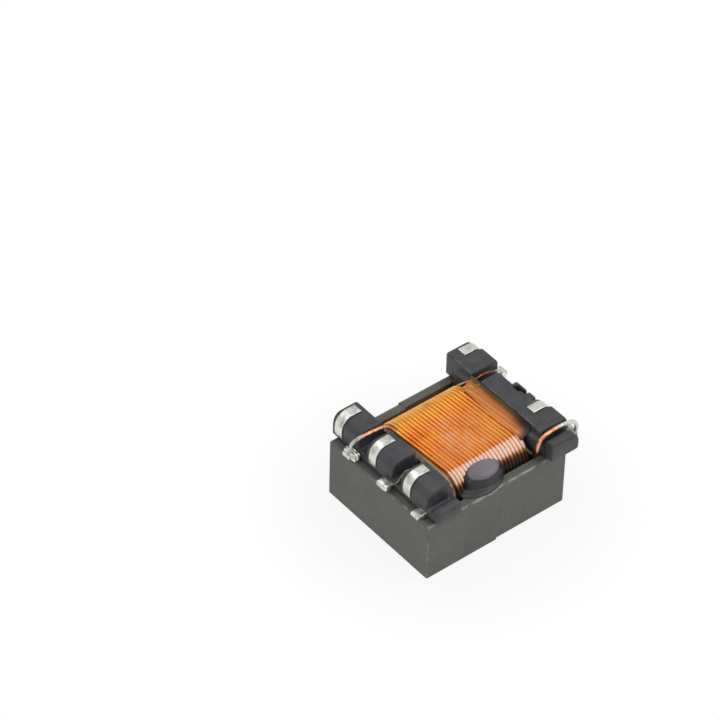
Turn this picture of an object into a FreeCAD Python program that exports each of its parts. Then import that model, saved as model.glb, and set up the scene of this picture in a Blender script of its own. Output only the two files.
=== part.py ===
import FreeCAD, Part
import math
import os

# Surface-mount ferrite transformer, in millimetres.
# X runs along the winding axis, from the rail with three solder pads to the rail with two.
# Z runs from the closed back of the core up out of its open side, where the solder pads are.
# The origin is the middle of the core's back.

# Winding stack on the core's centre post, from the inside out
post_half_width = 1.92
post_half_height = 0.76
post_corner_radius = 0.20
post_clearance = 0.12
tube_wall_thickness = 0.24
inner_winding_thickness = 0.36
tape_thickness = 0.06
layer_clearance = 0.01      # between one layer of the stack and the next
wire_diameter = 0.20        # of the outer turns
turn_count = 21
turn_pitch = 0.214
turn_valley_depth = 0.07    # how deep the groove is between two turns
tape_margin = 0.173         # tape left bare at each end of the outer turns

# Ferrite core: two halves that meet end to end round the winding
core_rim_height = 0.15      # end walls above the centre post
core_side_wall_thickness = 0.50
core_end_wall_thickness = 0.92
core_back_thickness = 0.50
core_edge_width = 0.08      # flat on its outer edges
core_misfit_offset = 0.08   # sideways step of the rear half at the joint
post_air_gap = 0.10
winding_side_clearance = 0.22
winding_floor_clearance = 0.18

# Bobbin: tube, two flanges and two terminal rails in one moulding
bobbin_offset = 0.28        # how far the bobbin sits towards the rear
flange_thickness = 0.45
flange_core_clearance = 0.08
flange_tape_clearance = 0.08
flange_end_clearance = 0.065
flange_rim_height = 0.06    # flange above the outer turns
rail_setback = 0.20         # from a flange's inner face to its rail's
front_rail_width = 1.43
rear_rail_width = 1.66
rail_core_clearance = 0.06  # between the core's open edge and a rail
block_end_overhang = 0.22   # rails beyond the core's far side
rail_base_height = 0.38
block_height = 1.38         # top of a terminal block above the rail's underside
nose_radius = 0.62
rear_cheek_radius = 0.30    # nose of the rear blocks beside their pads
rail_edge_width = 0.08      # flat on the rails' long edges
block_edge_width = 0.10     # flat on the blocks' upper edges
guide_width = 0.57          # the wire guide at a rail's end
guide_edge_width = 0.16
front_guide_height = 0.76
rear_guide_height = 1.12
spare_width = 1.10          # of the rear rail where no terminal sits
seat_wall_height = 1.20     # walls left standing round the empty terminal seat
seat_wall_width = 1.50      # to their outer face, from the rail's inner face
seat_wall_length = 1.45
seat_wall_setback = 0.90    # from the spare part's end to the seat walls
seat_hole_setback = 0.23    # from the seat walls' end to the hole
seat_hole_length = 0.57
seat_hole_width = 0.38
seat_hole_inner_width = 0.96
seat_gap_length = 0.16      # the gap between the two seat walls

# Terminals: one bent strip each, a solder pad and a wrapping post
pad_pitch = 2.50
strip_width = 0.52
strip_thickness = 0.20
strip_proud_height = 0.05   # how far the strip stands out of the plastic
post_height = 0.20          # middle of the strip's flat part above the rail's underside
strip_bend_radius = 0.08    # inside the lower bend
bridge_width = 0.42         # of the bridge between pad leg and post
pad_length = 1.12           # from the pad's inner end to the rail's outer face
block_behind_length = 0.49  # plastic on the far side of a pad's middle
block_post_setback = 0.06   # from a post's near edge back to its block's near end
post_offset = 1.20          # from a pad's middle to its post's middle
front_post_length = 0.56    # post beyond the rail's outer face
rear_post_length = 0.58

# Wire ends, solder and adhesive
heavy_wire_diameter = 0.20
fine_wire_diameter = 0.12
wire_sides = 6              # of a wire end's section
wire_clearance = 0.01       # between a wire end and the plastic it passes
wire_post_clearance = 0.04  # solder between a post and the wire beside it
exit_bend_radius = 0.13
low_bend_radius = 0.18
high_bend_radius = 0.42
front_run_height = 1.26     # a raised wire end above the rail's underside
rear_run_height = 1.05
corner_exit_angle = 58      # degrees round the winding's corner, where the last turn leaves
solder_cover_thickness = 0.05
solder_edge_radius = 0.12
solder_length = 0.42
bead_half_length = 1.00
bead_half_width = 0.85
bead_half_height = 0.88
bead_inset = 0.99           # the bead's middle from the core's side
bead_height = 0.04          # the bead's middle above the core's open edge

# Sizes and levels worked out from the ones above
tube_inner = post_clearance
tube_outer = tube_inner + tube_wall_thickness
inner_winding_start = tube_outer + layer_clearance
inner_winding_end = inner_winding_start + inner_winding_thickness
tape_start = inner_winding_end + layer_clearance
tape_end = tape_start + tape_thickness
turns_start = tape_end + layer_clearance
turns_end = turns_start + wire_diameter
flat_half_width = post_half_width - post_corner_radius
flat_half_height = post_half_height - post_corner_radius
turns_half_length = turn_count * turn_pitch / 2
tape_half_length = turns_half_length + tape_margin

window_half_width = post_half_width + turns_end + winding_side_clearance
window_radius = post_corner_radius + turns_end
core_half_width = window_half_width + core_side_wall_thickness
axis_height = core_back_thickness + winding_floor_clearance + turns_end + post_half_height
turns_top = axis_height + post_half_height + turns_end
core_height = axis_height + post_half_height + core_rim_height

flange_inner = tape_half_length + flange_tape_clearance
flange_outer = flange_inner + flange_thickness
flange_half_width = window_half_width - flange_core_clearance - core_misfit_offset / 2
flange_bottom = core_back_thickness + flange_core_clearance
flange_top = turns_top + flange_rim_height
window_half_length = bobbin_offset + flange_outer + flange_end_clearance
core_half_length = window_half_length + core_end_wall_thickness

rail_inner = flange_inner + rail_setback
front_rail_outer = rail_inner + front_rail_width
rear_rail_outer = rail_inner + rear_rail_width
rail_bottom = core_height + rail_core_clearance
rail_base_top = rail_bottom + rail_base_height
post_level = rail_bottom + post_height

# Places along Y, from the far end: a pad row's block, post and wire end, then the wire guide
rail_end = core_half_width + block_end_overhang
pad_rows = [rail_end - block_behind_length - row * pad_pitch for row in range(3)]
post_near_offset = post_offset + strip_width / 2
block_ahead_length = post_near_offset - block_post_setback
wire_offset = post_near_offset + wire_post_clearance
guide_end = pad_rows[2] - wire_offset - heavy_wire_diameter - wire_clearance
rail_start = guide_end - guide_width


def point(x, y, z):
    return FreeCAD.Vector(x, y, z)


def along(side, distance):
    """X at a distance from the bobbin's middle; side is -1 at the front and 1 at the rear."""
    return bobbin_offset + side * distance


def bends(corners, closed):
    """Start, middle and end of the tangent arc at each ((x, y, z), radius) corner of a path."""
    count = len(corners)
    joins = []
    for index, (place, radius) in enumerate(corners):
        at_end = not closed and index in (0, count - 1)
        if at_end or radius == 0:
            joins.append([place])
            continue
        back = (corners[index - 1][0] - place).normalize()
        ahead = (corners[(index + 1) % count][0] - place).normalize()
        half_angle = back.getAngle(ahead) / 2
        reach = radius / math.tan(half_angle)
        middle = place + (back + ahead).normalize() * (radius / math.sin(half_angle) - radius)
        joins.append([place + back * reach, middle, place + ahead * reach])
    return joins


def rounded_outline(corners):
    """A closed wire of straight runs, joined by arcs where a corner has a radius."""
    joins = bends(corners, True)
    edges = []
    for index, join in enumerate(joins):
        if len(join) > 1:
            edges.append(Part.Arc(*join).toShape())
        following = joins[(index + 1) % len(joins)][0]
        if following.distanceToPoint(join[-1]) > 1e-6:
            edges.append(Part.LineSegment(join[-1], following).toShape())
    return Part.Wire(edges)


def box_between(x_ends, y_ends, z_ends):
    x_low, x_high = sorted(x_ends)
    y_low, y_high = sorted(y_ends)
    z_low, z_high = sorted(z_ends)
    size = (x_high - x_low, y_high - y_low, z_high - z_low)
    return Part.makeBox(*size, point(x_low, y_low, z_low))


def profile_along_y(corners, y_start, y_end):
    """A closed outline of ((x, z), radius) corners, extruded along Y."""
    outline = rounded_outline([(point(x, y_start, z), radius) for (x, z), radius in corners])
    return Part.Face(outline).extrude(point(0, y_end - y_start, 0))


def profile_along_x(corners, x_start, x_end):
    """A closed outline of ((y, z), radius) corners, extruded along X."""
    outline = rounded_outline([(point(x_start, y, z), radius) for (y, z), radius in corners])
    return Part.Face(outline).extrude(point(x_end - x_start, 0, 0))


def around_post(offset, x_start, x_end):
    """A solid bar whose section is the core post's, grown by offset on every side."""
    half_width = post_half_width + offset
    half_height = post_half_height + offset
    signs = ((-1, -1), (1, -1), (1, 1), (-1, 1))
    places = [(y * half_width, axis_height + z * half_height) for y, z in signs]
    corner = post_corner_radius + offset
    return profile_along_x([(place, corner) for place in places], x_start, x_end)


def sleeve(inner, outer, half_length):
    """A tube round the post, centred on the bobbin."""
    ends = (along(-1, half_length), along(1, half_length))
    return around_post(outer, *ends).cut(around_post(inner, *ends))


def round_bottomed(half_width, bottom, top, corner, x_start, x_end):
    """A slab across the core: round lower corners, square and open upper ones."""
    corners = [
        ((-half_width, bottom), corner),
        ((half_width, bottom), corner),
        ((half_width, top), 0),
        ((-half_width, top), 0),
    ]
    return profile_along_x(corners, x_start, x_end)


def eased_box(half_length, half_width, height, edge_width):
    """The outside of a core half: a box whose outer edges have narrow flats."""
    box = box_between((-half_length, 0), (-half_width, half_width), (0, height))
    outer_edges = [edge for edge in box.Edges if edge.CenterOfMass.x < -edge_width]
    return box.makeChamfer(edge_width, outer_edges)


def core_half(side):
    shell = eased_box(core_half_length, core_half_width, core_height, core_edge_width)
    window_ends = (-window_half_length, core_half_length)
    window = round_bottomed(
        window_half_width, core_back_thickness, 2 * core_height, window_radius, *window_ends
    )
    post_root = -core_half_length + core_end_wall_thickness / 2
    centre_post = around_post(0, post_root, -post_air_gap / 2)
    half = shell.cut(window).fuse(centre_post).removeSplitter()
    if side > 0:
        half = half.mirror(point(0, 0, 0), point(1, 0, 0))
        half.translate(point(0, core_misfit_offset, 0))
    return half


def flattened(low, high, top, edge_width):
    """Section of a rail part as (across, up): flats on its two upper edges."""
    return [
        ((low, rail_bottom), 0),
        ((high, rail_bottom), 0),
        ((high, top - edge_width), 0),
        ((high - edge_width, top), 0),
        ((low + edge_width, top), 0),
        ((low, top - edge_width), 0),
    ]


def rail_part(side, outer, height, y_ends, nose, edge_width):
    """Part of a rail: a round outer nose along Y, and eased upper edges across it."""
    top = rail_bottom + height
    outline = [
        ((rail_inner, rail_bottom), 0),
        ((outer - rail_edge_width, rail_bottom), 0),
        ((outer, rail_bottom + rail_edge_width), 0),
        ((outer, top), nose),
        ((rail_inner + rail_edge_width, top), 0),
        ((rail_inner, top - rail_edge_width), 0),
    ]
    placed = [((along(side, distance), z), radius) for (distance, z), radius in outline]
    body = profile_along_y(placed, *y_ends)
    section = flattened(*y_ends, top, edge_width)
    return body.common(profile_along_x(section, along(side, rail_inner), along(side, outer)))


def block_ends(pad_y):
    return pad_y - block_ahead_length, pad_y + block_behind_length


def rail(side, outer, guide_height, cheek_radius, filled_rows):
    """A terminal rail: base, a block for each terminal and the wire guide."""
    ends = (rail_start, rail_end)
    base = rail_part(side, outer, rail_base_height, ends, rail_edge_width, rail_edge_width)
    guide = rail_part(
        side, outer, guide_height, (rail_start, guide_end), nose_radius, guide_edge_width
    )
    parts = [guide]
    for row in filled_rows:
        start, end = block_ends(pad_rows[row])
        cheek_end = pad_rows[row] - strip_width / 2
        for y_ends, nose in (((start, end), nose_radius), ((start, cheek_end), cheek_radius)):
            parts.append(rail_part(side, outer, block_height, y_ends, nose, block_edge_width))
    return base.multiFuse(parts)


def spare_seat(side):
    """The middle of the rear rail, whose terminal seat stays empty."""
    end = block_ends(pad_rows[1])[1]
    start = block_ends(pad_rows[2])[1] - block_edge_width
    outer = rail_inner + spare_width
    wall_outer = rail_inner + seat_wall_width
    body = rail_part(side, outer, block_height, (start, end), rail_edge_width, rail_edge_width)
    wall_end = end - seat_wall_setback
    wall_ends = (wall_end - seat_wall_length, wall_end)
    walls = rail_part(
        side, wall_outer, seat_wall_height, wall_ends, rail_edge_width, rail_edge_width
    )
    z_ends = (rail_base_top, rail_bottom + 2 * block_height)
    hole_inner = rail_inner + seat_hole_inner_width
    hole_end = wall_end - seat_hole_setback
    hole_start = hole_end - seat_hole_length
    hole_x = (along(side, hole_inner), along(side, hole_inner + seat_hole_width))
    hole = box_between(hole_x, (hole_start, hole_end), z_ends)
    gap_x = (along(side, outer), along(side, wall_outer))
    gap = box_between(gap_x, (hole_start - seat_gap_length, hole_start), z_ends)
    return body.fuse(walls).cut(hole).cut(gap)


def slot_ends(row):
    """The gap on the near side of a pad row's block, where its wire end passes."""
    far = guide_end if row == 2 else block_ends(pad_rows[row + 1])[1]
    return far, block_ends(pad_rows[row])[0]


def flange(side, slot_rows):
    """A flange, notched wherever a wire end's slot crosses it."""
    inner = along(side, flange_inner)
    outer = along(side, flange_outer)
    corner = window_radius - flange_core_clearance
    plate = round_bottomed(flange_half_width, flange_bottom, flange_top, corner, inner, outer)
    for row in slot_rows:
        levels = (rail_base_top, 2 * flange_top)
        plate = plate.cut(box_between((inner, outer), slot_ends(row), levels))
    return plate


def bobbin(terminals):
    tube = around_post(tube_outer, along(-1, flange_outer), along(1, flange_outer))
    parts = [
        flange(-1, (0, 1)),
        flange(1, (0, 2)),
        rail(-1, front_rail_outer, front_guide_height, nose_radius, (0, 1, 2)),
        rail(1, rear_rail_outer, rear_guide_height, rear_cheek_radius, (0, 2)),
        spare_seat(1),
    ]
    bore = around_post(tube_inner, -core_half_length, core_half_length)
    return tube.multiFuse(parts).removeSplitter().cut(Part.makeCompound([bore] + terminals))


def terminal(side, outer, pad_y, post_length):
    """A flat strip: pad on the block, bend over the nose, leg in the rail, bridge and post."""
    pad_top = rail_bottom + block_height + strip_proud_height
    pad_inner = outer - pad_length
    strip_outer = outer + strip_proud_height
    strip_under = strip_outer - strip_thickness
    leg_top = post_level + strip_thickness / 2
    leg_bottom = post_level - strip_thickness / 2
    leg_end = outer - nose_radius - bridge_width / 2
    nose_bend = nose_radius + strip_proud_height
    outline = [
        ((pad_inner, pad_top), 0),
        ((strip_outer, pad_top), nose_bend),
        ((strip_outer, leg_bottom), strip_bend_radius + strip_thickness),
        ((leg_end, leg_bottom), 0),
        ((leg_end, leg_top), 0),
        ((strip_under, leg_top), strip_bend_radius),
        ((strip_under, pad_top - strip_thickness), nose_bend - strip_thickness),
        ((pad_inner, pad_top - strip_thickness), 0),
    ]
    placed = [((along(side, distance), z), radius) for (distance, z), radius in outline]
    pad_leg = profile_along_y(placed, pad_y - strip_width / 2, pad_y + strip_width / 2)
    post_start = pad_y - post_near_offset
    levels = (leg_bottom, leg_top)
    bridge_x = (along(side, leg_end), along(side, leg_end + bridge_width))
    bridge = box_between(bridge_x, (post_start, pad_y), levels)
    post_x = (along(side, leg_end), along(side, outer + post_length))
    post = box_between(post_x, (post_start, post_start + strip_width), levels)
    return pad_leg.multiFuse([bridge, post]).removeSplitter()


def turn_profile(base_height):
    """Section through the turns facing +Z: a flat base and one three-sided ridge a turn."""
    start = along(-1, turns_half_length)
    top = base_height + wire_diameter
    valley = top - turn_valley_depth
    outline = [(start, base_height), (start, valley)]
    for turn in range(turn_count):
        left = start + turn * turn_pitch
        outline.append((left + turn_pitch / 3, top))
        outline.append((left + turn_pitch * 2 / 3, top))
        outline.append((left + turn_pitch, valley))
    outline.append((along(1, turns_half_length), base_height))
    outline.append(outline[0])
    return Part.Face(Part.makePolygon([point(x, 0, z) for x, z in outline]))


def outer_winding():
    """The layer that shows: a ridge for each turn, carried round the post in one skin."""
    section = turn_profile(post_corner_radius + turns_start)
    corners = [
        (flat_half_width, flat_half_height),
        (flat_half_width, -flat_half_height),
        (-flat_half_width, -flat_half_height),
        (-flat_half_width, flat_half_height),
    ]
    pieces = []
    for index, (y, z) in enumerate(corners):
        place = point(0, y, axis_height + z)
        before = corners[index - 1]
        here = section.copy()
        here.rotate(point(0, 0, 0), point(1, 0, 0), -90 * index)
        here.translate(place)
        pieces.append(here.revolve(place, point(1, 0, 0), -90))
        pieces.append(here.extrude(point(0, before[0] - y, before[1] - z)))
    return pieces[0].multiFuse(pieces[1:]).removeSplitter()


def wire_line(pad_y, diameter):
    """Y of a wire end where it runs over the rail and down beside its post."""
    return pad_y - wire_offset - diameter / 2


def lead(side, outer, pad_y, diameter, start, run_level, run_bend):
    """A wire end, six-sided: out of the winding, over the rail and down beside its post."""
    start_y, start_level = start
    run_y = wire_line(pad_y, diameter)
    exit_x = turns_half_length + (flange_inner - turns_half_length) / 2
    drop_x = outer + wire_clearance + diameter / 2
    end_level = post_level - strip_thickness / 2
    corners = [((turns_half_length, start_y, start_level), 0)]
    turned = start_y < run_y - wire_clearance or start_y > run_y + wire_clearance
    if turned:
        corners.append(((exit_x, start_y, start_level), 0))
    if turned or run_level != start_level:
        corners.append(((exit_x, run_y, start_level), exit_bend_radius))
    if run_level != start_level:
        corners.append(((flange_outer + low_bend_radius, run_y, run_level), low_bend_radius))
    corners.append(((drop_x, run_y, run_level), run_bend))
    corners.append(((drop_x, run_y, end_level), 0))
    places = [(point(along(side, x), y, z), radius) for (x, y, z), radius in corners]
    line = Part.makePolygon([place for join in bends(places, False) for place in join])
    ring = []
    for step in range(wire_sides + 1):
        angle = 2 * math.pi * step / wire_sides
        across = point(0, math.cos(angle), math.sin(angle)) * (diameter / 2)
        ring.append(places[0][0] + across)
    mitred = 1
    return line.makePipeShell([Part.makePolygon(ring)], True, False, mitred)


def solder_joint(side, outer, pad_y, diameter, terminal_shape, lead_shape):
    """The solder that covers a post and the end of the wire beside it."""
    cover = solder_cover_thickness + diameter / 2
    low_y = wire_line(pad_y, diameter) - cover
    high_y = pad_y - post_offset + strip_width / 2 + cover
    start = outer + wire_clearance
    lump = box_between(
        (along(side, start), along(side, start + solder_length)),
        (low_y, high_y),
        (post_level - strip_thickness / 2 - cover, post_level + strip_thickness / 2 + cover),
    )
    long_edges = [edge for edge in lump.Edges if edge.BoundBox.XLength > edge.BoundBox.YLength]
    long_edges = [edge for edge in long_edges if edge.BoundBox.XLength > edge.BoundBox.ZLength]
    lump = lump.makeFillet(solder_edge_radius, long_edges)
    return lump.cut(terminal_shape).cut(lead_shape)


def adhesive_bead(core_halves):
    """The lump that ties the winding to both core halves at their joint."""
    stretch = FreeCAD.Matrix()
    stretch.scale(bead_half_length, bead_half_width, bead_half_height)
    lump = Part.makeSphere(1).transformGeometry(stretch)
    lump.translate(point(0, bead_inset - core_half_width, core_height + bead_height))
    winding = around_post(turns_end + layer_clearance, -core_half_length, core_half_length)
    return lump.cut(winding).cut(core_halves[0]).cut(core_halves[1])


def wire_ends():
    """Terminal, wire, where it leaves the winding, its running level and its bend."""
    heavy = heavy_wire_diameter
    fine = fine_wire_diameter
    outer_level = axis_height + post_half_height + turns_start + heavy / 2
    inner_level = rail_base_top + wire_clearance + fine / 2
    crossing_level = inner_level + fine
    ring_radius = post_corner_radius + turns_start + heavy / 2
    angle = math.radians(corner_exit_angle)
    corner_y = -flat_half_width - ring_radius * math.cos(angle)
    corner_level = axis_height + flat_half_height + ring_radius * math.sin(angle)
    starts = {
        1: (wire_line(pad_rows[0], heavy), outer_level),
        2: (wire_line(pad_rows[1], fine), inner_level),
        4: (wire_line(pad_rows[0], fine), inner_level),
        5: (corner_y, corner_level),
    }
    return [
        (1, heavy, starts[1], rail_bottom + front_run_height, high_bend_radius),
        (2, fine, starts[2], inner_level, low_bend_radius),
        (4, fine, starts[4], crossing_level, low_bend_radius),
        (5, heavy, starts[5], rail_bottom + rear_run_height, high_bend_radius),
    ]


def main():
    os.makedirs("parts", exist_ok=True)
    halves = (core_half(-1), core_half(1))
    nodes = {
        "core_half_front": halves[0],
        "core_half_rear": halves[1],
        "inner_winding": sleeve(inner_winding_start, inner_winding_end, turns_half_length),
        "insulation_tape": sleeve(tape_start, tape_end, tape_half_length),
        "outer_winding": outer_winding(),
        "adhesive_bead": adhesive_bead(halves),
    }
    front = (-1, front_rail_outer, front_post_length)
    rear = (1, rear_rail_outer, rear_post_length)
    seats = {1: (front, 0), 2: (front, 1), 3: (front, 2), 4: (rear, 0), 5: (rear, 2)}
    terminals = {}
    for number, ((side, outer, post_length), row) in seats.items():
        terminals[number] = terminal(side, outer, pad_rows[row], post_length)
        nodes["terminal_%d" % number] = terminals[number]
    nodes["bobbin"] = bobbin(list(terminals.values()))

    for number, diameter, start, run_level, run_bend in wire_ends():
        (side, outer, _), row = seats[number]
        place = (side, outer, pad_rows[row], diameter)
        wire = lead(*place, start, run_level, run_bend)
        nodes["lead_%d" % number] = wire
        nodes["solder_joint_%d" % number] = solder_joint(*place, terminals[number], wire)

    for name, shape in nodes.items():
        print(name, shape.isValid(), len(shape.Solids), round(shape.Volume, 4))
        shape.exportStep("parts/%s.step" % name)


main()
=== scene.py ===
import math

import bpy
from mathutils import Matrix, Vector, noise


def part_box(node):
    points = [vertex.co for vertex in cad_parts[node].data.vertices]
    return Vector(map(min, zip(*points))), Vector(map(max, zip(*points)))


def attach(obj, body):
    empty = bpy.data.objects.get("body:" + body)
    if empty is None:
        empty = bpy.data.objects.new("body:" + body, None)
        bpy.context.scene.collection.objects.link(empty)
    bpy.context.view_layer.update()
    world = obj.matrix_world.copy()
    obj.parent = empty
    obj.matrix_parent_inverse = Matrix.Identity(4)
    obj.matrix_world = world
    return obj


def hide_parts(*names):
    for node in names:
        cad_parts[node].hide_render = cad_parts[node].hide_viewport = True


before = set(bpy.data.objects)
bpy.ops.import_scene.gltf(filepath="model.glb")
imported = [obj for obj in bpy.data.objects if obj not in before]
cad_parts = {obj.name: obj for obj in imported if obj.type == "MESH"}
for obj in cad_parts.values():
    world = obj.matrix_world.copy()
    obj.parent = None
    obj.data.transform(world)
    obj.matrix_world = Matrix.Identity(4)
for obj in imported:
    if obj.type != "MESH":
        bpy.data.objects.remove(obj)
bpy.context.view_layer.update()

mm = 0.001                      # metres
mmPerMetre = 1000


# Camera, lamps and floor

view = {
    "place": (-89.0343, -100.5031, 132.4244),   # mm
    "turn": (47.3009, -1.0565, -38.7603),       # degrees
    "lens": 200.0,
    "sensor": 36.0,
    "clip": (0.005, 5),         # metres, the nearest and furthest that it sees
}

lamps = {
    # name: direction from the part, distance in mm, size in mm, watts
    "key": ((0.47, -0.42, 0.78), 140, 84, 0.046),
    "top": ((-0.15, 0.35, 1.0), 150, 110, 0.036),
    "left": ((-1.0, -0.25, 0.55), 150, 90, 0.024),
}

lampAim = (0, 0, 2.4)           # mm, what the lamps point at

surround = {
    "ambient": 0.44,            # what the dull surfaces get from all round
    "white": (1, 1, 1, 1),
    "floorTone": (0.94, 0.94, 0.94, 1),
    "floorSize": 400,           # mm
    "floorHeight": -0.01,       # mm
    "floorCuts": 6,
    "floorShadow": 0.12,        # how much of the floor's own shade shows near the part
    "shadowReach": (5.5, 10.0),     # mm from the middle, where it starts to go and is gone
}


def deselectAll():
    if bpy.context.object and bpy.context.object.mode != "OBJECT":
        endEdit()
    bpy.ops.object.select_all(action="DESELECT")


def makeActive(piece):
    deselectAll()
    piece.select_set(True)
    bpy.context.view_layer.objects.active = piece


def editAll():
    # edit mode, with the whole active piece selected
    bpy.ops.object.mode_set(mode="EDIT")
    bpy.ops.mesh.select_all(action="SELECT")


def endEdit():
    bpy.ops.object.mode_set(mode="OBJECT")


def applyPlace():
    # the new piece keeps its place, turn and size in its mesh
    bpy.ops.object.transform_apply(location=True, rotation=True, scale=True)


def placeCamera():
    deselectAll()
    place = Vector(view["place"]) * mm
    turn = [math.radians(angle) for angle in view["turn"]]
    bpy.ops.object.camera_add(location=place, rotation=turn)
    camera = bpy.context.object
    camera.name = "camera"
    camera.data.lens = view["lens"]
    camera.data.sensor_width = view["sensor"]
    camera.data.clip_start, camera.data.clip_end = view["clip"]
    bpy.context.scene.camera = camera


def placeLamps():
    aim = Vector(lampAim) * mm
    for name, (direction, distance, size, watts) in lamps.items():
        towards = Vector(direction).normalized()
        place = aim + towards * distance * mm
        turn = towards.to_track_quat("Z", "Y").to_euler()
        bpy.ops.object.light_add(type="AREA", location=place, rotation=turn)
        lamp = bpy.context.object
        lamp.name = name + "Lamp"
        lamp.data.size = size * mm
        lamp.data.energy = watts


# Shader maths: a Value is a socket that takes plain arithmetic

def plain(value):
    return value.socket if isinstance(value, Value) else value


class Value:
    def __init__(self, nodes, socket):
        self.nodes = nodes
        self.socket = socket

    def maths(self, operation, *numbers):
        inputs = {index: number for index, number in enumerate(numbers)}
        made = self.nodes.node("ShaderNodeMath", {"operation": operation}, inputs)
        return Value(self.nodes, made.outputs[0])

    def __add__(self, other):
        return self.maths("ADD", self, other)

    def __sub__(self, other):
        return self.maths("SUBTRACT", self, other)

    def __mul__(self, other):
        return self.maths("MULTIPLY", self, other)

    def __truediv__(self, other):
        return self.maths("DIVIDE", self, other)

    def __radd__(self, other):
        return self.maths("ADD", other, self)

    def __rsub__(self, other):
        return self.maths("SUBTRACT", other, self)

    def __rmul__(self, other):
        return self.maths("MULTIPLY", other, self)

    def __rtruediv__(self, other):
        return self.maths("DIVIDE", other, self)

    def least(self, other):
        return self.maths("MINIMUM", self, other)

    def most(self, other):
        return self.maths("MAXIMUM", self, other)

    def apart(self):
        return self.maths("ABSOLUTE", self)

    def wave(self):
        return self.maths("SINE", self)

    def whole(self):
        return self.maths("FLOOR", self)

    def rise(self, low, high):
        # 0 below low, 1 above high, and smooth between them; high below low turns it round
        inputs = {"Value": self, "From Min": low, "From Max": high}
        made = self.nodes.node("ShaderNodeMapRange", {"interpolation_type": "SMOOTHSTEP"}, inputs)
        return Value(self.nodes, made.outputs[0])

    def stray(self, reach):
        # a pattern from 0 to 1 turned into one that goes as far below 0 as above it
        return (self - 0.5) * reach


class Nodes:
    def __init__(self, tree):
        self.tree = tree
        self.tree.nodes.clear()

    def node(self, kind, settings=None, inputs=None):
        made = self.tree.nodes.new(kind)
        for key, value in (settings or {}).items():
            setattr(made, key, value)
        for key, value in (inputs or {}).items():
            value = plain(value)
            if isinstance(value, bpy.types.NodeSocket):
                self.tree.links.new(value, made.inputs[key])
            else:
                made.inputs[key].default_value = value
        return made

    def seenRay(self):
        # 1 for what the camera, a mirror or clear plastic sees, 0 for light on dull surfaces
        ray = self.node("ShaderNodeLightPath").outputs
        seen = Value(self, ray["Is Camera Ray"]).most(Value(self, ray["Is Glossy Ray"]))
        return seen.most(Value(self, ray["Is Transmission Ray"]))


class Finish(Nodes):
    def __init__(self, name):
        self.material = bpy.data.materials.new(name)
        self.material.use_nodes = True
        super().__init__(self.material.node_tree)
        self.object = self.node("ShaderNodeTexCoord").outputs["Object"]

    def across(self):
        # x, y and z on the part, in mm
        split = self.node("ShaderNodeSeparateXYZ", None, {0: self.object})
        return [Value(self, output) * mmPerMetre for output in split.outputs]

    def noise(self, perMm, detail=3, roughness=0.55, stretch=(1, 1, 1)):
        scale = [mmPerMetre * perMm * part for part in stretch]
        mapped = self.node("ShaderNodeMapping", None, {"Vector": self.object, "Scale": scale})
        made = self.node("ShaderNodeTexNoise", None, {
            "Vector": mapped.outputs[0],
            "Scale": 1.0,
            "Detail": detail,
            "Roughness": roughness,
        })
        return Value(self, made.outputs[0])

    def mix(self, share, first, second):
        made = self.node("ShaderNodeMix", {"data_type": "RGBA"}, {0: share, 6: first, 7: second})
        return made.outputs[2]

    def close(self, tone, roughness, metallic, height, reach, others=None):
        # reach is how far the height stands out, in mm; others go to the sockets they name
        bump = {"Height": height, "Strength": 1.0, "Distance": reach * mm}
        inputs = {"Base Color": tone, "Roughness": roughness, "Metallic": metallic}
        inputs.update(others or {})
        inputs["Normal"] = self.node("ShaderNodeBump", None, bump).outputs[0]
        skin = self.node("ShaderNodeBsdfPrincipled", None, inputs)
        self.node("ShaderNodeOutputMaterial", None, {"Surface": skin.outputs[0]})
        return self.material


def colour(red, green, blue):
    # a colour as read off a picture, 0 to 255, made linear
    shares = [value / 255 for value in (red, green, blue)]
    linear = [s / 12.92 if s <= 0.04045 else ((s + 0.055) / 1.055) ** 2.4 for s in shares]
    return (*linear, 1.0)


def layFloor():
    deselectAll()
    place = (0, 0, surround["floorHeight"] * mm)
    bpy.ops.mesh.primitive_plane_add(size=surround["floorSize"] * mm, location=place)
    floor = bpy.context.object
    floor.name = "floor"
    editAll()
    bpy.ops.mesh.subdivide(number_cuts=surround["floorCuts"])
    endEdit()
    applyPlace()
    finish = Finish("paleFloor")
    x, y, _ = finish.across()
    near, far = surround["shadowReach"]
    close = (x * x + y * y).rise(far * far, near * near)
    dull = finish.node("ShaderNodeBsdfDiffuse", None, {"Color": surround["floorTone"]})
    glow = {"Color": surround["white"], "Strength": 1.0}
    bright = finish.node("ShaderNodeEmission", None, glow)
    share = finish.seenRay() * (1 - close * surround["floorShadow"])
    inputs = {0: share, 1: dull.outputs[0], 2: bright.outputs[0]}
    both = finish.node("ShaderNodeMixShader", None, inputs)
    finish.node("ShaderNodeOutputMaterial", None, {"Surface": both.outputs[0]})
    floor.data.materials.append(finish.material)


def lightSurround():
    world = bpy.data.worlds.new("surround")
    bpy.context.scene.world = world
    world.use_nodes = True
    nodes = Nodes(world.node_tree)
    soft = nodes.node("ShaderNodeBackground", None, {"Strength": surround["ambient"]})
    white = nodes.node("ShaderNodeBackground", None, {"Strength": 1.0})
    inputs = {0: nodes.seenRay(), 1: soft.outputs[0], 2: white.outputs[0]}
    both = nodes.node("ShaderNodeMixShader", None, inputs)
    nodes.node("ShaderNodeOutputWorld", None, {0: both.outputs[0]})


bpy.context.scene.view_settings.view_transform = "Standard"
placeCamera()
placeLamps()
lightSurround()
layFloor()
print("camera, lamps and floor are set")


# What every piece needs

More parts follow.
